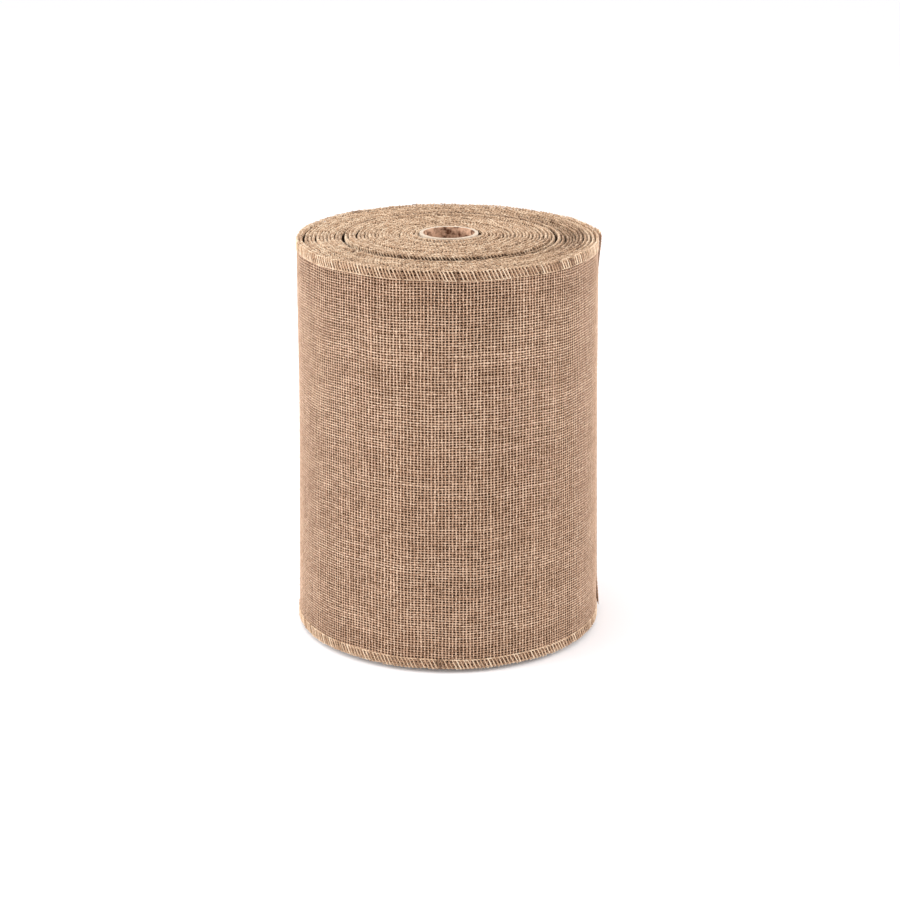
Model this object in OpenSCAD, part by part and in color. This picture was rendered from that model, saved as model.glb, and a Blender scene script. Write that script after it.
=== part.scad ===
// Roll of burlap ribbon on a paperboard core, standing on end.
// +Z runs up the core's axis, and the origin is where that axis meets the floor.
// The ribbon stands on its long edge, so its width is the height of the roll. It winds clockwise outwards as seen
// from above, and its free tail ends at the right, just behind the +X axis.

/* [Ribbon] */
// Width of the ribbon from edge to edge
ribbon_w = 305; // [100:1:400]
// Thickness of the woven cloth
cloth_t = 1.2; // [0.6:0.1:1.5]
// Width of the overlocked band along each edge
edge_w = 7; // [4:0.5:12]
// Thickness of the ribbon through an overlocked edge
edge_t = 2.4; // [1.5:0.1:3]

/* [Roll] */
// Diameter of the wound turns at the top
top_d = 223; // [180:1:300]
// How much wider the turns have settled at the foot
foot_spread = 12; // [0:0.2:14]
// Outer diameter of the tightly wound inner turns
inner_turns_d = 158; // [80:1:170]
// Width of the loose gap between the inner and the outer turns
loose_gap = 1.2; // [0.4:0.1:2]

/* [Core] */
// Inner diameter of the core tube
bore_d = 38.1; // [25:0.1:60]
// Wall thickness of the core tube
core_wall = 3; // [2:0.1:6]
// Thickness of the kraft liner ply
liner_t = 0.5; // [0.3:0.1:0.8]
// Thickness of the outer wrap ply
wrap_t = 0.4; // [0.3:0.1:0.8]
// How far the core stands above the ribbon's upper edge
core_proud = 3; // [0:0.5:10]

/* [Start tape] */
// Width of the paper tape that holds the ribbon's start
tape_w = 48; // [20:1:80]
// Thickness of the tape
tape_t = 0.2; // [0.1:0.05:0.4]
// How far round the core the tape reaches, in degrees
tape_arc = 80; // [30:5:180]

/* [Tail] */
// Where the tail's cut end lies, in degrees from +X
tail_end = 3; // [0:1:30]
// How far round the roll the tail reaches, in degrees
tail_arc = 90; // [60:5:120]
// Clearance between the tail and the turn under it
tail_clear = 0.4; // [0.3:0.1:1]
// Clearance between neighbouring stretches of the tail
stretch_gap = 0.6; // [0.5:0.1:1]

/* [Hidden] */
$fn = 180;
stretches = 5;
stretch_arc = tail_arc / stretches;
bore_r = bore_d / 2;
core_r = bore_r + core_wall;
core_l = ribbon_w + core_proud;
first_turn_r = core_r + tape_t;
lower_seam_z = edge_w;
upper_seam_z = ribbon_w - edge_w;
mid_layer = tail_clear + edge_t / 2;

jute = [0.76, 0.62, 0.49];
thread_tan = [0.80, 0.68, 0.54];
kraft = [0.58, 0.38, 0.27];
board = [0.84, 0.78, 0.70];
wrap_paper = [0.88, 0.82, 0.74];
tape_paper = [0.86, 0.80, 0.62];

// Radius of the roll's outside at a height: the settled turns lean in towards the top
function roll_r(z) = top_d / 2 + foot_spread / 2 * (1 - z / ribbon_w);

// A straight tube from z0 to z1
module tube(inner_r, outer_r, z0, z1)
    rotate_extrude()
        translate([inner_r, z0]) square([outer_r - inner_r, z1 - z0]);

// Part of the outer turns between two heights: straight inside, leaning in outside
module outer_turns(z0, z1)
    rotate_extrude()
        polygon([
            [inner_turns_d / 2 + loose_gap, z0], [roll_r(z0), z0],
            [roll_r(z1), z1], [inner_turns_d / 2 + loose_gap, z1]
        ]);

// One stretch of the tail between two heights, centred on the layer that it lies in. Stretch 1 is at the root.
module tail_stretch(i, z0, z1, t) {
    from_a = tail_end + tail_arc - i * stretch_arc;
    gap_a = stretch_gap / roll_r(0) * 180 / PI;
    rotate([0, 0, from_a + gap_a / 2])
        rotate_extrude(angle = stretch_arc - gap_a)
            polygon([
                [roll_r(z0) + mid_layer - t / 2, z0], [roll_r(z0) + mid_layer + t / 2, z0],
                [roll_r(z1) + mid_layer + t / 2, z1], [roll_r(z1) + mid_layer - t / 2, z1]
            ]);
}

module tail_cloth(i) color(jute) tail_stretch(i, lower_seam_z, upper_seam_z, cloth_t);
module tail_upper_overlock(i) color(thread_tan) tail_stretch(i, upper_seam_z, ribbon_w, edge_t);
module tail_lower_overlock(i) color(thread_tan) tail_stretch(i, 0, lower_seam_z, edge_t);

// The core: a kraft liner, the board plies and a thin wrap, glued into one tube
module core_liner_ply() color(kraft) tube(bore_r, bore_r + liner_t, 0, core_l);
module core_board_plies() color(board) tube(bore_r + liner_t, core_r - wrap_t, 0, core_l);
module core_outer_wrap() color(wrap_paper) tube(core_r - wrap_t, core_r, 0, core_l);

// The tape lies on the core at mid height, under the first turn
module start_tape()
    color(tape_paper)
        rotate_extrude(angle = tape_arc)
            translate([core_r, (ribbon_w - tape_w) / 2]) square([tape_t, tape_w]);

// The wound turns, each pack with its woven cloth and its two overlocked edges
module inner_turns_cloth()
    color(jute) tube(first_turn_r, inner_turns_d / 2, lower_seam_z, upper_seam_z);
module inner_turns_upper_overlock()
    color(thread_tan) tube(first_turn_r, inner_turns_d / 2, upper_seam_z, ribbon_w);
module inner_turns_lower_overlock()
    color(thread_tan) tube(first_turn_r, inner_turns_d / 2, 0, lower_seam_z);
module outer_turns_cloth() color(jute) outer_turns(lower_seam_z, upper_seam_z);
module outer_turns_upper_overlock() color(thread_tan) outer_turns(upper_seam_z, ribbon_w);
module outer_turns_lower_overlock() color(thread_tan) outer_turns(0, lower_seam_z);

core_liner_ply();
core_board_plies();
core_outer_wrap();
start_tape();
inner_turns_cloth();
inner_turns_upper_overlock();
inner_turns_lower_overlock();
outer_turns_cloth();
outer_turns_upper_overlock();
outer_turns_lower_overlock();
for (i = [1 : stretches]) {
    tail_cloth(i);
    tail_upper_overlock(i);
    tail_lower_overlock(i);
}
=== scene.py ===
import math

import bpy
import numpy as np
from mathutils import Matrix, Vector


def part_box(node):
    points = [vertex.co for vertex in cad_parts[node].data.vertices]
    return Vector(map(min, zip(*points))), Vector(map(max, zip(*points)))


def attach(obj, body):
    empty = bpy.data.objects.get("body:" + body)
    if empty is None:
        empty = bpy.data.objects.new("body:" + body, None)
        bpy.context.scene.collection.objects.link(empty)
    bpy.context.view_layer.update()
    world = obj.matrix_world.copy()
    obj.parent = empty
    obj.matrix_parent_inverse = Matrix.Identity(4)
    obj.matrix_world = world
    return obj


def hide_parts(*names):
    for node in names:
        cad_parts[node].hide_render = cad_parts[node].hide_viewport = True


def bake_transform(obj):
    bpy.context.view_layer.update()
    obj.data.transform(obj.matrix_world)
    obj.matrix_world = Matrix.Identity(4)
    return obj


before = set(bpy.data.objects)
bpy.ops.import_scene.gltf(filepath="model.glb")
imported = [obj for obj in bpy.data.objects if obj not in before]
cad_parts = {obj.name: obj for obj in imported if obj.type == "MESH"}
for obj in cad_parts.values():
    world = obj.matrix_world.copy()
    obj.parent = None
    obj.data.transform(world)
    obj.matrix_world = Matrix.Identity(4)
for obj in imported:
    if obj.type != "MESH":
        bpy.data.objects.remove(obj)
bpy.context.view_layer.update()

# ---------------------------------------------------------------------------------------------
# The set: a white sweep that the roll stands on, with soft light from both sides and above, and a
# long lens that looks slightly down at the roll.
# ---------------------------------------------------------------------------------------------
scene = bpy.context.scene
scene.view_settings.view_transform = "Standard"

camera_side, camera_back, camera_up = 0.00086, 1.608, 0.666
camera_tilt = math.radians(18.24)  # down from level
camera = bpy.data.objects.new("camera", bpy.data.cameras.new("camera"))
camera.data.lens, camera.data.sensor_width = 87.4, 36
camera.location = (camera_side, -camera_back, camera_up)
camera.rotation_euler = (math.radians(90) - camera_tilt, 0, 0)
scene.collection.objects.link(camera)
scene.camera = camera

roll_middle = Vector((0, 0, 0.15))


def softbox(name, place, size, watts):
    """A square lamp at place that faces the middle of the roll."""
    lamp = bpy.data.lights.new(name, "AREA")
    lamp.shape, lamp.size, lamp.energy = "SQUARE", size, watts
    holder = bpy.data.objects.new(name, lamp)
    holder.location = place
    to_roll = roll_middle - Vector(place)
    holder.rotation_euler = to_roll.to_track_quat("-Z", "Y").to_euler()
    scene.collection.objects.link(holder)


softbox("left_softbox", (-1.8, -0.2, 0.9), 1.2, 22)
softbox("right_softbox", (1.9, 0.1, 0.8), 1.2, 22)
softbox("top_softbox", (-0.8, -0.1, 2.1), 1.4, 10)

studio = bpy.data.worlds.new("studio")
studio.use_nodes = True
studio.node_tree.nodes["Background"].inputs["Color"].default_value = (1, 1, 1, 1)
studio.node_tree.nodes["Background"].inputs["Strength"].default_value = 1.0
scene.world = studio

floor_half = 6.0
floor_mesh = bpy.data.meshes.new("floor")
floor_corners = [(-1, -1), (1, -1), (1, 1), (-1, 1)]
floor_mesh.from_pydata([(floor_half * x, floor_half * y, 0) for x, y in floor_corners], [], [(0, 1, 2, 3)])
floor = bpy.data.objects.new("floor", floor_mesh)
scene.collection.objects.link(floor)

sweep_white = bpy.data.materials.new("sweep_white")
sweep_white.use_nodes = True
sweep = sweep_white.node_tree.nodes["Principled BSDF"].inputs
sweep["Base Color"].default_value = (0.90, 0.89, 0.91, 1)
sweep["Roughness"].default_value = 0.9
sweep["Emission Color"].default_value = (1, 1, 1, 1)
sweep["Emission Strength"].default_value = 0.08
floor_mesh.materials.append(sweep_white)


# ---------------------------------------------------------------------------------------------
# The core: a paperboard tube wound from plies in a spiral. The kraft liner shows inside, with the
# slanting line where its edges meet, and the pale board shows at the cut rim.
# ---------------------------------------------------------------------------------------------
class Wire:
    """One socket in a material. A sum on wires adds its Math nodes, and add() makes any other node."""

    def __init__(self, tree, socket=None):
        self.tree, self.socket = tree, socket

    def add(self, kind, settings=None, sockets=None, out=0):
        """A node, with its settings made first and its sockets then filled by numbers, colours or wires."""
        node = self.tree.nodes.new(kind)
        for name, value in (settings or {}).items():
            if name == "stops":
                stops = node.color_ramp.elements
                while len(stops) < len(value):
                    stops.new(0.5)
                for stop, (place, colour) in zip(stops, value):
                    stop.position, stop.color = place, (*colour, 1)
            else:
                setattr(node, name, value)
        for name, value in (sockets or {}).items():
            if isinstance(value, Wire):
                self.tree.links.new(value.socket, node.inputs[name])
            else:
                node.inputs[name].default_value = value
        return Wire(self.tree, node.outputs[out] if node.outputs else None)

    def maths(self, operation, *values):
        """A Math node on wires and numbers."""
        return self.add("ShaderNodeMath", {"operation": operation}, dict(enumerate(values)))

    def __add__(self, other):
        return self.maths("ADD", self, other)

    def __sub__(self, other):
        return self.maths("SUBTRACT", self, other)

    def __rsub__(self, other):
        return self.maths("SUBTRACT", other, self)

    def __mul__(self, other):
        return self.maths("MULTIPLY", self, other)

    __radd__, __rmul__ = __add__, __mul__

    def blend(self, low, high):
        """A colour between low and high, as this wire goes from 0 to 1."""
        share, low_socket, high_socket, blended = 0, 6, 7, 2  # a Mix node's sockets for colours
        sockets = {share: self, low_socket: (*low, 1), high_socket: (*high, 1)}
        return self.add("ShaderNodeMix", {"data_type": "RGBA"}, sockets, blended)


def material(name, colour, rough, height, depth, sheen=0.0):
    """A material whose colour, roughness and height are made by functions of a blank wire."""
    made = bpy.data.materials.new(name)
    made.use_nodes = True
    made.node_tree.nodes.clear()
    blank = Wire(made.node_tree)
    bump = blank.add("ShaderNodeBump", None, {"Height": height(blank), "Distance": depth, "Strength": 1.0})
    sockets = {"Base Color": colour(blank), "Roughness": rough(blank), "Normal": bump}
    sockets |= {"Specular IOR Level": 0.25, "Sheen Weight": sheen, "Sheen Roughness": 0.5}
    shader = blank.add("ShaderNodeBsdfPrincipled", None, sockets)
    blank.add("ShaderNodeOutputMaterial", None, {"Surface": shader})
    return made


def grain(blank, scale, detail=3.0, stretch=(1, 1, 1)):
    """Cloudy variation from 0 to 1, with scale in clouds to the metre and a squeeze along each axis."""
    place = blank.add("ShaderNodeTexCoord", out="Object")
    place = blank.add("ShaderNodeVectorMath", {"operation": "MULTIPLY"}, {0: place, 1: stretch})
    return blank.add("ShaderNodeTexNoise", None, {"Vector": place, "Scale": scale, "Detail": detail})


ply_width = 0.060  # of the paper strip that the tube is wound from
seam_share = 0.012  # of that width, where the strip's edges meet


def ply_seam(blank):
    """1 on the thin slanting line where the edges of a spiral ply meet, and 0 elsewhere."""
    place = blank.add("ShaderNodeTexCoord", out="Object")
    x, y, z = (blank.add("ShaderNodeSeparateXYZ", None, {"Vector": place}, out=axis) for axis in "XYZ")
    round_it = blank.maths("ARCTAN2", y, x) * (1 / math.tau)
    along = blank.maths("FRACT", z * (1 / ply_width) + round_it)
    return blank.maths("LESS_THAN", along, seam_share)


def kraft_colour(w):
    """Mottled reddish-brown paper, darker along the seam."""
    amount = ply_seam(w) * 0.5 + grain(w, 240, 5.0) * 4.2 - 1.6
    return amount.blend((0.78, 0.49, 0.33), (0.12, 0.045, 0.02))


kraft = material(
    "kraft_liner",
    kraft_colour,
    lambda w: grain(w, 300) * 0.2 + 0.65,
    lambda w: grain(w, 900, 4.0) - ply_seam(w),
    0.0002,
)
board = material(
    "board_plies",
    lambda w: grain(w, 500, 5.0).blend((0.42, 0.31, 0.22), (0.86, 0.74, 0.61)),
    lambda w: grain(w, 500) * 0.15 + 0.8,
    lambda w: grain(w, 1600, 5.0),
    0.0003,
)
wrap = material(
    "outer_wrap",
    lambda w: grain(w, 350).blend((0.55, 0.44, 0.34), (0.82, 0.72, 0.60)),
    lambda w: grain(w, 300) * 0.15 + 0.7,
    lambda w: grain(w, 1200, 4.0) - ply_seam(w),
    0.00015,
)
tape_paper = material(
    "creped_tape",
    lambda w: grain(w, 200).blend((0.62, 0.50, 0.28), (0.78, 0.67, 0.42)),
    lambda w: grain(w, 260) * 0.2 + 0.55,
    lambda w: grain(w, 700, 2.0, (1, 1, 3)),
    0.0001,
)
finishes = {
    "core_liner_ply": kraft,
    "core_board_plies": board,
    "core_outer_wrap": wrap,
    "start_tape": tape_paper,
}
for node_name, finish in finishes.items():
    core_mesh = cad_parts[node_name].data
    core_mesh.materials.clear()
    core_mesh.materials.append(finish)

# ---------------------------------------------------------------------------------------------
# How the ribbon lies: one strip of burlap, 12 inches wide and 15 yards long, wound on the core. It
# winds clockwise outwards, opens at a few loose places, and has settled wider at the foot.
# ---------------------------------------------------------------------------------------------
draw = np.random.default_rng(11)  # all chance in the winding, the weave and the stitches comes from this
ribbon_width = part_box("outer_turns_upper_overlock")[1][2]
ribbon_length = 13.716
tail_end = math.radians(3.0)
core_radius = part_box("core_outer_wrap")[1][0]
upper_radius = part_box("outer_turns_upper_overlock")[1][0]
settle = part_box("outer_turns_lower_overlock")[1][0] - upper_radius
edge_half = 0.00123  # of the thickness through an overlocked edge
tail_out = 0.0016  # from the wound turns' outside at the top to the middle of the tail
first_radius = core_radius + edge_half
last_radius = upper_radius + tail_out
turns = ribbon_length / (math.pi * (first_radius + last_radius))
turn_gap = (last_radius - first_radius) / turns


def turn_near(rough, angle):
    """The count of turns nearest to a rough count at which the ribbon passes an angle."""
    whole = turns - (angle - tail_end) / math.tau
    return whole + round(rough - whole)


# Loose places: the turn where the winding opens, how far, the angle where it opens most, and the
# share by which it opens less across that
loose_turn = 20.05
loose_places = [
    (17.3, 0.0011, 0.0, 0.8),
    (loose_turn, 0.0050, 1.57, 0.6),
    (27.1, 0.0005, 0.0, 0.8),
    (29.9, 0.0010, 0.1, 0.8),
]
opening_turns = 0.22  # that a loose place takes to open
# Creases: the turn that stands out, how far, where round the roll, half its reach, and over how
# many turns it fades
creases = [
    (1.2, 0.0012, 3.1, 0.7, 2.0),
    (2.4, 0.0008, 0.0, 0.6, 2.0),
    (4.9, 0.0016, 3.2, 0.5, 2.5),
    (9.4, 0.0008, 0.1, 0.6, 3.0),
    (22.5, 0.0017, 0.15, 0.9, 3.0),
    (13.0, 0.0007, 4.4, 0.9, 3.0),
]
# Lips: turns that stand proud at the right, and how far
lips = [(20.6, 0.0014), (28.4, 0.0010)]
lip_reach, lip_turns = 1.3, 0.4  # how far round the roll a lip reaches, and over how many turns
# Unevenness along the ribbon, in the gaps and in how far a turn has crept up
knot_at = range(80)
gap_knots, creep_knots = draw.uniform(-1, 1, (2, len(knot_at)))
gap_knot_turns, creep_knot_turns = 0.45, 0.8  # between one chance value and the next
# Waves round the turns
oval, three_lobes, five_lobes, uneven = 0.0008, 0.0005, 0.0003, 0.00035
bulge_low, bulge_rise = 0.16, 0.14  # where the outer turns begin to bulge, and how far up the bulge grows


def smooth(x):
    """0 below 0, 1 above 1, and a smooth rise between."""
    x = np.clip(x, 0, 1)
    return x * x * (3 - 2 * x)


def ribbon_angle(turn):
    """Where round the roll the ribbon is at a count of turns."""
    return tail_end + math.tau * (turns - turn)


def hump(angle, middle, reach):
    """1 at the middle angle, and 0 from reach away."""
    away = np.abs((angle - middle + math.pi) % math.tau - math.pi)
    return smooth(1 - away / reach)


def layer_radius(turn, height):
    """How far the middle of the cloth is from the core's axis, at a count of turns and a height."""
    angle, share = ribbon_angle(turn), turn / turns
    pushed, spare = 0.0, 0.0
    for start, width, widest, change in loose_places:
        opened = width * (1 - change * 0.5 * (1 - np.cos(2 * (angle - widest))))
        pushed = pushed + opened * smooth((turn - start) / opening_turns)
        spare = spare + opened
    for rough, depth, middle, reach, fade in creases:
        beyond = turn - turn_near(rough, middle + math.pi)
        faded = (beyond > 0) * np.exp(-np.maximum(beyond, 0) / fade)
        pushed = pushed + depth * hump(angle, middle, reach) * faded
    radius = first_radius + (last_radius - first_radius - spare) * share + pushed
    ripple = three_lobes * np.cos(3 * angle + 0.09 * turn) + five_lobes * np.cos(5 * angle + 2 - 0.16 * turn)
    chance = np.interp(turn / gap_knot_turns, knot_at, gap_knots)
    ripple = ripple + oval * np.cos(2 * angle + 1.1) + uneven * chance
    free = np.sin(math.pi * np.clip(share, 0, 1)) ** 2  # both ends of the winding are held round
    low = 1 - height / ribbon_width
    bulge = smooth((height - bulge_low) / bulge_rise) * (0.0013 - 0.0005 * np.cos(angle)) * share**3
    return radius + ripple * free + settle * share**2 * low + bulge


sag, sag_height = 0.0015, 0.03  # how far the cloth lies in between its thick edges, and how soon
corner_out, corner_reach = 0.0010, 0.35  # how far the cut end's top corner curls out, and from what angle


def stand_off(turn, height):
    """How far the cloth strays from its layer, between its thick edges and at the cut end."""
    before_end = math.tau * (turns - turn)
    between = smooth(np.minimum(height, ribbon_width - height) / sag_height)
    corner = corner_out * smooth(1 - before_end / corner_reach) * smooth(height / ribbon_width * 9 - 8)
    return corner - between * sag * smooth(1.3 - before_end / 0.7)


core_creep, inner_creep, uneven_creep, last_creep = 0.0009, 0.0008, 0.0009, 0.0005
foot_lift = 0.0023  # by which the last turn's foot is off the floor
sunk_depth, sunk_from, sunk_to = 0.0016, 21.3, 26.0  # the turns that have sunk at the right


def on_ribbon(turn, height, out):
    """The point at a count of turns, a height up the ribbon and a distance out from the cloth's middle."""
    turn, height, out = np.broadcast_arrays(turn, height, out)
    angle, share = ribbon_angle(turn), turn / turns
    outermost = share**8
    radius = layer_radius(turn, height) + stand_off(turn, height) + out
    crept = core_creep * (1 - share) + inner_creep * (turn < loose_turn)
    crept = crept + uneven_creep * np.interp(turn / creep_knot_turns, knot_at, creep_knots)
    last_wave = 1 + np.sin(4 * angle + 1) * np.cos(7 * angle)
    crept = crept * (1 - outermost) + last_creep * outermost * last_wave
    for lip_turn, proud in lips:
        at_lip = smooth(1.5 - np.abs(turn - lip_turn) / lip_turns)
        crept = crept + proud * hump(angle, 0.0, lip_reach) * at_lip
    crept = crept + foot_lift * outermost * (1 - height / ribbon_width) ** 4
    sunk = sunk_depth * hump(angle, 0.15, 1.1) * smooth((turn - sunk_from) / 1.2)
    sunk = sunk * smooth((sunk_to - turn) / 1.5)
    level = height + np.maximum(crept, 0) - sunk * height / ribbon_width
    return np.stack([radius * np.cos(angle), radius * np.sin(angle), level], -1)


def ribbon_run(turn):
    """The length of ribbon from its start on the core to a count of turns."""
    return math.pi * turn_gap * turn**2 + math.tau * first_radius * turn


def turn_at(length):
    """The count of turns at a length along the ribbon from its start on the core."""
    mean = first_radius / turn_gap
    return np.sqrt(mean**2 + length / (math.pi * turn_gap)) - mean


# ---------------------------------------------------------------------------------------------
# The wound turns: everything under the last turn. Only their edges show, and their faces through
# the holes in the last turn's weave, so the cloth is a plain strip with its weave in the material.
# ---------------------------------------------------------------------------------------------
column_step = math.tau / 281  # between the yarns that stand upright
tail_columns, last_turn_columns = 73, 283
weave_start = turns - (tail_columns + last_turn_columns) * column_step / math.tau


def build(name, parts, finish, body, stands_for=()):
    """A mesh from parts, each of points, faces, tones of points and places of corners in the bake map."""
    mesh = bpy.data.meshes.new(name)
    starts, corners, points, tones, places = [], [], [], [], []
    point_count = corner_count = 0
    for part_points, part_faces, part_tones, part_places in parts:
        sides = part_faces.shape[1]
        starts.append(corner_count + sides * np.arange(len(part_faces)))
        corners.append((part_faces + point_count).ravel())
        points.append(part_points.reshape(-1, 3))
        tones.append(part_tones.ravel())
        places.append(part_places.reshape(-1, 2))
        point_count += len(points[-1])
        corner_count += len(corners[-1])
    mesh.vertices.add(point_count)
    mesh.vertices.foreach_set("co", np.concatenate(points).astype(np.float32).ravel())
    mesh.loops.add(corner_count)
    mesh.loops.foreach_set("vertex_index", np.concatenate(corners).astype(np.int32))
    mesh.polygons.add(sum(len(s) for s in starts))
    mesh.polygons.foreach_set("loop_start", np.concatenate(starts).astype(np.int32))
    mesh.update(calc_edges=True)
    mesh.shade_smooth()
    bake_map = mesh.uv_layers.new(name="OFBake")
    bake_map.uv.foreach_set("vector", np.concatenate(places).astype(np.float32).ravel())
    tone = mesh.attributes.new("tone", "FLOAT", "POINT")
    tone.data.foreach_set("value", np.concatenate(tones).astype(np.float32))
    mesh.materials.append(finish)
    piece = bpy.data.objects.new(name, mesh)
    scene.collection.objects.link(piece)
    if body:
        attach(piece, body)
    if stands_for:
        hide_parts(*stands_for)
    return piece


def tone_of(blank):
    """The yarns' tone, from about -1 to 1: their own light and dark, with painted light and shade added in.
    """
    return blank.add("ShaderNodeAttribute", {"attribute_name": "tone"}, out="Fac")


def ramp(amount, *colours):
    """Dark, middle and light colours, at amounts of 0, 0.5 and 1."""
    return amount.add("ShaderNodeValToRGB", {"stops": list(zip((0, 0.5, 1), colours))}, {"Fac": amount})


def jute_colour(w):
    """Jute from dark to light by the yarn's tone and a fine mottle."""
    amount = tone_of(w) * 0.28 + grain(w, 900, 2.0) * 0.5 + 0.235
    return ramp(amount, (0.18, 0.085, 0.036), (0.49, 0.29, 0.18), (0.83, 0.60, 0.43))


burlap = material(
    "jute_yarn",
    jute_colour,
    lambda w: grain(w, 700) * 0.2 + 0.72,
    lambda w: grain(w, 2400, 2.0),
    0.0002,
    0.25,
)
hidden_steps = {"X": 0.00255, "Y": 0.00198}  # between the hidden turns' yarns, along the ribbon and up it


def woven_height(w):
    """The plain weave of the hidden turns as a height, by the strip's own map in metres."""
    place = w.add("ShaderNodeUVMap", {"uv_map": "cloth"})
    waves = []
    for axis, step in hidden_steps.items():
        part = w.add("ShaderNodeSeparateXYZ", None, {"Vector": place}, out=axis)
        waves.append(w.maths("SINE", part * (math.tau / (2 * step))))
    return w.maths("ABSOLUTE", waves[0] * waves[1])


def hidden_colour(w):
    """Jute painted darker than it is, for the shade inside the holes of the turn over it."""
    return (woven_height(w) * 0.6 + grain(w, 500) * 0.4).blend((0.035, 0.014, 0.005), (0.14, 0.070, 0.029))


hidden_cloth = material(
    "wound_cloth",
    hidden_colour,
    lambda w: grain(w, 700) * 0.15 + 0.8,
    woven_height,
    0.0004,
)

strip_half, strip_inset = 0.0005, 0.0014  # half its thickness, and how far its edges lie inside the ribbon's
stations_per_turn = 64
strip_overlap = 0.03  # of a turn, by which the strip goes on under the weave
stations = np.arange(int(weave_start * stations_per_turn) + 1) / stations_per_turn
stations = np.append(stations, weave_start + strip_overlap)
strip_heights = np.array([strip_inset, 0.008, 0.1, 0.2, ribbon_width - 0.008, ribbon_width - strip_inset])
around_height = np.concatenate([strip_heights, strip_heights[::-1]])
around_out = np.repeat([strip_half, -strip_half], len(strip_heights))
strip_points = on_ribbon(stations[:, None], around_height, around_out)
strip_run = ribbon_run(stations)[:, None] + 0 * around_height
strip_at = np.arange(strip_run.size).reshape(strip_run.shape)
strip_after = np.roll(strip_at, -1, 1)
strip_faces = np.stack([strip_at[:-1], strip_after[:-1], strip_after[1:], strip_at[1:]], -1).reshape(-1, 4)
strip_ends = np.stack([strip_at[0, ::-1], strip_at[-1]])
strip_place = np.stack([strip_run, around_height + 0 * strip_run], -1).reshape(-1, 2)
whole_ribbon = [ribbon_length, ribbon_width]
wound = build(
    "wound_turns",
    [
        (strip_points, strip_faces, np.zeros(strip_run.shape), strip_place[strip_faces] / whole_ribbon),
        (np.zeros((0, 3)), strip_ends - strip_run.size, np.zeros(0), strip_place[strip_ends] / whole_ribbon),
    ],
    hidden_cloth,
    "root",
    ["inner_turns_cloth", "outer_turns_cloth"],
)
cloth_map = np.concatenate([strip_place[strip_faces].ravel(), strip_place[strip_ends].ravel()])
wound.data.uv_layers.new(name="cloth").uv.foreach_set("vector", cloth_map.astype(np.float32))

# ---------------------------------------------------------------------------------------------
# The overlocked edges: spun thread is sewn over both cut edges along the whole ribbon. It slants
# up the cloth's face from the needle line, goes over the edge, and down the back.
# ---------------------------------------------------------------------------------------------
stitch_step = 0.0028
band = 0.0066  # from the edge to the needle line
thread_half = 0.00046
crest_half, needle_half = 0.75 * thread_half, 0.6 * thread_half
thread_out = edge_half - thread_half
lower_thread_height = 0.0019  # of the lowest threads' middle
fuzz_height = (0.0022, ribbon_width + 0.0004)  # where fuzz stands on the lower and the upper edge
row_margin, strip_margin = 0.004, 0.08  # left empty at the ends and the sides of a strip of a bake map


def tubes(path, side, out, tone, sides, strip, strips, fold=None):
    """Closed tubes along rows of points, with half-widths side and out. Each row's map starts on a strip of
    its own out of all the strips, and goes on to the next one after every fold of points."""
    rows, count = path.shape[:2]
    fold, strip = fold or count - 1, np.asarray(strip)
    turn = math.tau * np.arange(sides) / sides
    points = path[:, :, None] + np.cos(turn)[:, None] * side[:, :, None]
    points = points + np.sin(turn)[:, None] * out[:, :, None]
    at = np.arange(rows * count * sides).reshape(rows, count, sides)
    after = np.roll(at, -1, 2)
    faces = np.stack([at[:, :-1], at[:, 1:], after[:, 1:], after[:, :-1]], -1).reshape(-1, 4)
    caps = np.concatenate([at[:, 0], at[:, -1, ::-1]])
    tones = np.broadcast_to(tone[:, :, None], at.shape)
    segment = np.arange(count - 1)[:, None, None]
    u = row_margin + (1 - 2 * row_margin) * (segment % fold + np.array([0, 1, 1, 0])) / fold
    v = np.arange(sides)[:, None] + np.array([0, 0, 1, 1])
    v = strip_margin + (1 - 2 * strip_margin) * v / sides
    v = (strip[:, None, None, None] + segment // fold + v) / strips
    face_map = np.stack(np.broadcast_arrays(u, v), -1).reshape(-1, 4, 2)
    # The two ends' maps fit in the margins
    cap_strip = np.concatenate([strip, strip + (count - 2) // fold])[:, None]
    cap_u = np.repeat([row_margin / 2, 1 - row_margin / 2], rows)[:, None] + 0.0015 * np.cos(turn)
    cap_v = (cap_strip + 0.5 + 0.4 * np.sin(turn)) / strips
    return [
        (points, faces, tones, face_map),
        (np.zeros((0, 3)), caps - points.size // 3, np.zeros(0), np.stack([cap_u, cap_v], -1)),
    ]


def round_thread(path, half, tone, sides, **on_map):
    """Round threads of a half-thickness along rows of points."""
    ahead = np.gradient(path, axis=1)
    across = np.cross(ahead, [0.02, 0.03, 1.0])
    across *= half / np.maximum(np.linalg.norm(across, axis=-1, keepdims=True), 1e-9)
    up = np.cross(across, ahead)
    up *= half / np.maximum(np.linalg.norm(up, axis=-1, keepdims=True), 1e-9)
    return tubes(path, across, up, tone, sides, **on_map)


fibre_half, fibre_bow, fibre_tone = 0.00007, 0.0006, 0.4


def fibres(run, height, out, reach, **on_map):
    """Loose fibres from a length along the ribbon, a height and a way out, that end a reach away."""
    along = np.linspace(0, 1, 6)
    bow = np.sin(math.pi * along) * draw.uniform(-fibre_bow, fibre_bow, (len(run), 1))
    starts = zip((run, height, out), reach)
    run, height, out = (start[:, None] + far[:, None] * along for start, far in starts)
    path = on_ribbon(turn_at(run + bow), height + bow, out)
    return round_thread(path, fibre_half, fibre_tone + 0 * run, 3, **on_map)


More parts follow.
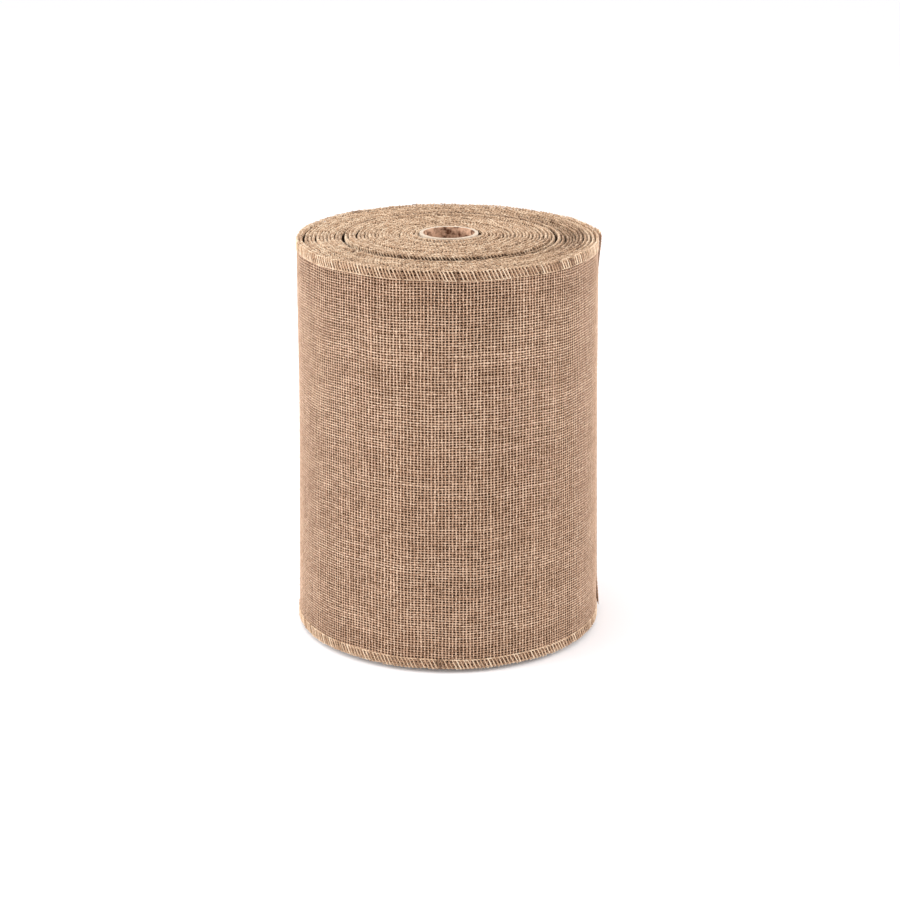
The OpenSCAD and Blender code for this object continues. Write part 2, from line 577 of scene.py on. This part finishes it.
stitch_total = int(ribbon_length / stitch_step) - 1
stitch_shift = draw.uniform(-0.12, 0.12, (2, stitch_total))
stitch_out = draw.uniform(-1, 0.5, (2, stitch_total))
stitch_deep = draw.uniform(-0.0004, 0.0004, (2, stitch_total))
slow_stitches = 13  # over which the thread's tone slowly changes
stitch_tone = draw.uniform(-1, 1, (2, stitch_total // slow_stitches + 2))
slow_at = np.arange(stitch_total) / slow_stitches
stitch_tone = np.stack([np.interp(slow_at, range(len(slow)), slow) for slow in stitch_tone])
stitch_tone = 0.35 * stitch_tone + 0.55 * draw.normal(0, 1, (2, stitch_total))
stitch_tone[:, -2:] += 0.7  # painted light: the threads at the cut end are painted paler, against the shade they lie in
thread_folds = 40  # of the map of one thread
looper_loose, twist_loose, needle_loose = 0.12, 0.25, 0.1  # how unevenly each thread lies
# Painted shade in the threads' tone in the loose place, at the back and at the right, and painted light at
# the left
loose_shade, left_light, back_shade, right_shade = 1.6, 0.2, 0.4, 0.9


def edge_shade(turn):
    """How much darker the thread is painted at a count of turns: painted shade in the loose place, at the
    back and at the right, and painted light at the left.
    """
    angle = ribbon_angle(turn)
    shade = loose_shade * (np.abs(turn - loose_turn - 0.5) < 0.5) * np.sin(angle) ** 2
    shade = shade - left_light * hump(angle, 3.1, 1.5) + back_shade * hump(angle, 1.57, 1.3)
    return shade + right_shade * hump(angle, 0.1, 1.3) * smooth(turn - 20.8) * smooth((29.0 - turn) / 1.5)


def overlock(from_turn, to_turn, upper, full):
    """The threads over one edge between two counts of turns. Full ones go down to the needle line."""
    runs = [ribbon_run(turn) for turn in (from_turn, to_turn)]
    first, last = (min(int(run / stitch_step), stitch_total - 1) for run in runs)
    which, edge = np.arange(first, last + 1), int(upper)
    threads = 3 if full else 2
    strips = threads * thread_folds + 1

    def thread_along(number, route, half, sides, loose):
        """One thread that repeats a route of shares of a stitch, of the way out and of the band's depth."""
        along, out, deep = np.array(route).T
        along = along if upper else -along
        where = stitch_step * (which[:, None] + stitch_shift[edge, which, None] + along)
        out = thread_out * out * (1 + loose * stitch_out[edge, which, None])
        deep = band * deep + stitch_deep[edge, which, None] * (deep < 0.5)
        height = ribbon_width - thread_half - deep if upper else lower_thread_height + deep
        turn = turn_at(where)
        order = slice(None) if upper else slice(None, None, -1)
        points = on_ribbon(turn, height, out)[:, order].reshape(1, -1, 3)
        tone = (stitch_tone[edge, which, None] - edge_shade(turn))[:, order].reshape(1, -1)
        kept = (last - first) * len(along) + 1
        on_map = {"strip": (number * thread_folds,), "strips": strips, "fold": -(-kept // thread_folds)}
        return round_thread(points[:, :kept], half, tone[:, :kept], sides, **on_map)

    # The looper thread goes up the face, over the edge and down the back
    if full:
        face = [(0.0, 1.0, 1.0), (0.40, 1.0, 0.62), (0.80, 1.0, 0.24)]
        back = [(0.98, -1.0, 0.24), (0.60, -1.0, 0.62), (0.30, -0.9, 1.0), (0.65, 0.1, 1.0)]
    else:
        face = [(0.45, 0.9, 0.42), (0.80, 1.0, 0.20)]
        back = [(0.98, -1.0, 0.20), (0.75, -0.9, 0.42)]
    loops = [*face, (1.08, 0.75, 0.03), (1.20, 0.05, -0.06), (1.18, -0.7, 0.03), *back]
    parts = thread_along(0, loops, thread_half, 5, looper_loose)
    # A second one winds round it along the crest
    fifths = [math.tau * k / 5 for k in range(5)]
    twist = [(a / math.tau, 0.75 * math.cos(a), -0.07 - 0.05 * math.sin(a)) for a in fifths]
    parts += thread_along(1, twist, crest_half, 4, twist_loose)
    if full:
        needle = [(0.05, 0.3, 0.98), (0.25, 1.0, 1.02), (0.55, 1.15, 1.0), (0.85, 0.9, 0.97)]
        parts += thread_along(2, needle, needle_half, 4, needle_loose)
    # Fuzz along the crest
    count = (last - first) // (1 if full else 2)
    run = draw.uniform(first + 1, last - 1, count) * stitch_step
    reach_along, reach_up = draw.normal(0, 0.0012, count), draw.uniform(-0.001, 0.0022, count) * upper
    reach = [reach_along, reach_up, draw.normal(0, 0.0011, count)]
    out = draw.uniform(-0.0008, 0.0012, count)
    on_map = {"strip": np.full(count, threads * thread_folds), "strips": strips}
    return parts + fibres(run, fuzz_height[edge] + 0 * run, out, reach, **on_map)


def thread_colour(w):
    """The thread is a little paler than the cloth."""
    amount = tone_of(w) * 0.3 + grain(w, 1100, 2.0) * 1.1 + 0.06
    return ramp(amount, (0.15, 0.07, 0.028), (0.64, 0.415, 0.255), (0.97, 0.77, 0.56))


thread = material(
    "overlock_thread",
    thread_colour,
    lambda w: grain(w, 900) * 0.2 + 0.7,
    lambda w: grain(w, 3000, 2.0),
    0.00015,
    0.3,
)
# Packs of turns: where each starts and ends, and the pack that its threads stand for
edge_packs = [
    ("inner", 0.02, 12.0, "inner_turns"),
    ("inner_middle", 12.0, 20.0, None),
    ("outer", 20.0, 26.0, "outer_turns"),
    ("outermost", 26.0, weave_start, None),
]
for pack, from_turn, to_turn, stood_for in edge_packs:
    for upper in (True, False):
        level = "upper" if upper else "lower"
        build(
            f"{pack}_turns_{level}_overlock_thread",
            overlock(from_turn, to_turn, upper, False),
            thread,
            "root",
            [f"{stood_for}_{level}_overlock"] if stood_for else [],
        )

# ---------------------------------------------------------------------------------------------
# The last turn: burlap in plain weave, made yarn by yarn. The yarns that go round the roll and the
# upright ones pass over and under each other, and vary in thickness and tone as spun jute does.
# ---------------------------------------------------------------------------------------------
row_count = 152
row_low = 0.0016  # from the ribbon's lower edge to the first yarn's space, and as much at the upper edge
row_step = (ribbon_width - 2 * row_low) / row_count
all_columns = tail_columns + last_turn_columns
over = 0.00024  # how far a yarn's middle swings from the middle of the cloth
row_half, column_half, yarn_depth = 0.00041, 0.00051, 0.00025
thinnest, thickest = 0.6, 1.5  # of a yarn's usual width


def drift(rows, count, step):
    """Smooth random values from -1 to 1 along each of some rows."""
    knots = draw.uniform(-1, 1, (rows, count // step + 3))
    at = np.arange(count) / step
    low = at.astype(int)
    part = smooth(at - low)
    return knots[:, low] * (1 - part) + knots[:, low + 1] * part


# Each yarn's width, wander and tone, all along it, with two samples to each yarn that it crosses
row_samples, column_samples = 2 * all_columns + 1, 2 * row_count + 1
row_width = 1 + 0.05 * draw.normal(0, 1, (row_count, 1)) + 0.14 * drift(row_count, row_samples, 9)
row_width = row_width + 0.2 * drift(row_count, row_samples, 3)
row_wander = 0.00012 * drift(row_count, row_samples, 11) + 0.00018 * drift(row_count, row_samples, 4)
row_tone = 0.14 * draw.normal(0, 1, (row_count, 1)) + 0.35 * drift(1, row_count, 7).T
row_tone = row_tone + 0.3 * drift(row_count, row_samples, 17) + 0.6 * drift(row_count, row_samples, 3)
column_width = 1 + 0.05 * draw.normal(0, 1, (all_columns, 1)) + 0.13 * drift(all_columns, column_samples, 9)
column_width = column_width + 0.2 * drift(all_columns, column_samples, 3)
column_wander = 0.00014 * drift(all_columns, column_samples, 13)
column_wander = column_wander + 0.0002 * drift(all_columns, column_samples, 4)
column_tone = 0.1 * draw.normal(0, 1, (all_columns, 1)) + 0.2 * drift(all_columns, column_samples, 15)
column_tone = column_tone + 0.6 * drift(all_columns, column_samples, 3)

slubs = 260  # short thick places, among the yarns of either kind
for width_table in (row_width, column_width):
    for slub in range(slubs):
        yarn, middle = draw.integers(width_table.shape[0]), draw.integers(width_table.shape[1])
        reach = np.abs(np.arange(width_table.shape[1]) - middle) / draw.uniform(6, 45)
        width_table[yarn] += draw.uniform(0.15, 0.5) * smooth(1 - reach)

band_shade = 0.7  # painted shade: by which the cloth under the overlock is painted darker, for the shade of the thread over it
row_height = row_low + (np.arange(row_count) + 0.5)[:, None] * row_step
row_tone = row_tone - band_shade * (np.minimum(row_height, ribbon_width - row_height) < band)
column_height = row_low + np.arange(column_samples) / 2 * row_step
column_tone = column_tone - band_shade * (np.minimum(column_height, ribbon_width - column_height) < band)
row_tone[:, :3] += 0.9  # painted light: the cut end's yarns are painted paler, against the shade where it stands off the roll
# Painted light on the cut end's first upright yarn too
column_tone[0] += 0.5
crossing_painted_light_and_shade = 1.2  # painted light and shade: a yarn is painted paler where it floats over the one that crosses it, and darker where it goes under
frayed = draw.uniform(0.2, 1.3, row_count)  # of a column, past the cut end
fibres_per_column, fibre_out = 6, 0.0005


def column_turn(column):
    """The count of turns at a count of upright yarns from the tail's cut end."""
    return turns - np.asarray(column) * column_step / math.tau


def weave_wave(column, height):
    """Slow waves in the lie of the yarns: how far they stray upwards, in metres."""
    return 0.0005 * np.sin(0.11 * column + 9 * height) + 0.0003 * np.sin(0.31 * column + 2 - 21 * height)


def outward_of(path):
    """The level way out from the core's axis at each point."""
    outward = path * [1, 1, 0]
    return outward / np.linalg.norm(outward, axis=-1, keepdims=True)


def weave(first, last):
    """The yarns between two columns, counted from the tail's cut end towards the core."""
    at = np.arange(2 * first, 2 * last + 1)
    rows = np.arange(row_count)[:, None]
    height = row_height + row_wander[:, at]
    height = height + weave_wave(at / 2, height)
    swing = np.where(at % 2, np.where((at // 2 + rows) % 2, 1, -1), 0)
    place = at / 2 + 0 * height
    half = row_half * np.clip(row_width[:, at], thinnest, thickest)
    if first == 0:
        place[:, 0] -= frayed
        half[:, 0] *= 0.5
    path = on_ribbon(column_turn(place), height, over * swing)
    strips = row_count + last - first + 1
    down = np.array([0, 0, -1.0]) * half[..., None]
    tone = row_tone[:, at] + crossing_painted_light_and_shade * swing
    parts = tubes(path, down, outward_of(path) * yarn_depth, tone, 6, np.arange(row_count), strips)
    # The upright yarns
    columns = np.arange(first, last)
    at_height = np.arange(column_samples)
    height = column_height + weave_wave(columns[:, None] + 0.5, column_height)
    swing = np.where(at_height % 2, np.where((columns[:, None] + at_height // 2) % 2, -1, 1), 0)
    place = columns[:, None] + 0.5 + column_wander[columns] / (column_step * last_radius)
    path = on_ribbon(column_turn(place), height, over * swing)
    outward = outward_of(path)
    half = (column_half * np.clip(column_width[columns], thinnest, thickest))[..., None]
    side = np.cross([0, 0, 1.0], outward) * half
    tone = column_tone[columns] + crossing_painted_light_and_shade * swing
    parts += tubes(path, side, outward * yarn_depth, tone, 6, row_count + columns - first, strips)
    # Loose fibres
    count = fibres_per_column * (last - first)
    run = ribbon_run(column_turn(draw.uniform(first + 1, last - 1, count)))
    height = draw.uniform(band, ribbon_width - band, count)
    reach = [draw.normal(0, 0.003, count), draw.normal(0, 0.002, count)]
    reach.append(np.abs(draw.normal(0, 0.0009, count)))
    on_map = {"strip": np.full(count, strips - 1), "strips": strips}
    return parts + fibres(run, height, fibre_out + 0 * run, reach, **on_map)


panels = 11
panel_edges = np.linspace(tail_columns, all_columns, panels + 1).round().astype(int)
for panel, (first, last) in enumerate(zip(panel_edges, panel_edges[1:]), 1):
    piece = build(f"last_turn_cloth_{panel}", weave(first, last), burlap, "root")
tail_start = column_turn(tail_columns)
middle = (tail_start + weave_start) / 2
for level in ("upper", "lower"):
    for half_name, span in (("front", (middle, tail_start)), ("back", (weave_start, middle))):
        edge = overlock(*span, level == "upper", True)
        build(f"last_turn_{level}_overlock_{half_name}", edge, thread, "root", ())

# ---------------------------------------------------------------------------------------------
# The tail: the ribbon's free end, which lies against the roll. Each piece of cloth and edge runs across one
# joint, and reaches half way to the next.
# ---------------------------------------------------------------------------------------------
tail_arc, joints = 90.0, 5
bend_inset = 0.6  # of a column, from a stretch's ends to where its bend starts and ends
from_column = tail_columns
for number in range(1, joints + 2):
    bends = number <= joints  # the last one is the cut end, past the last joint
    to_angle = math.radians(tail_arc * (1 - (number - 0.5) / joints)) if bends else 0
    to_column = round(to_angle / column_step)
    joint = min(number, joints)
    rides_on = None if bends else f"tail_{joint}"
    cloth_piece = build(
        f"tail_cloth_stretch_{number}",
        weave(to_column, from_column),
        burlap,
        rides_on,
        [f"tail_cloth_{joint}"],
    )
    pieces = [cloth_piece]
    for level in ("upper", "lower"):
        edge_piece = build(
            f"tail_{level}_edge_stretch_{number}",
            overlock(column_turn(from_column), column_turn(to_column), level == "upper", True),
            thread,
            rides_on,
            [f"tail_{level}_overlock_{joint}"],
        )
        pieces.append(edge_piece)
    if bends:
        bend_columns = (from_column - bend_inset, to_column + bend_inset)
        start, end = (tuple(on_ribbon(column_turn(c), ribbon_width / 2, 0.0)) for c in bend_columns)
        for piece in pieces:
            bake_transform(piece)
    from_column = to_column
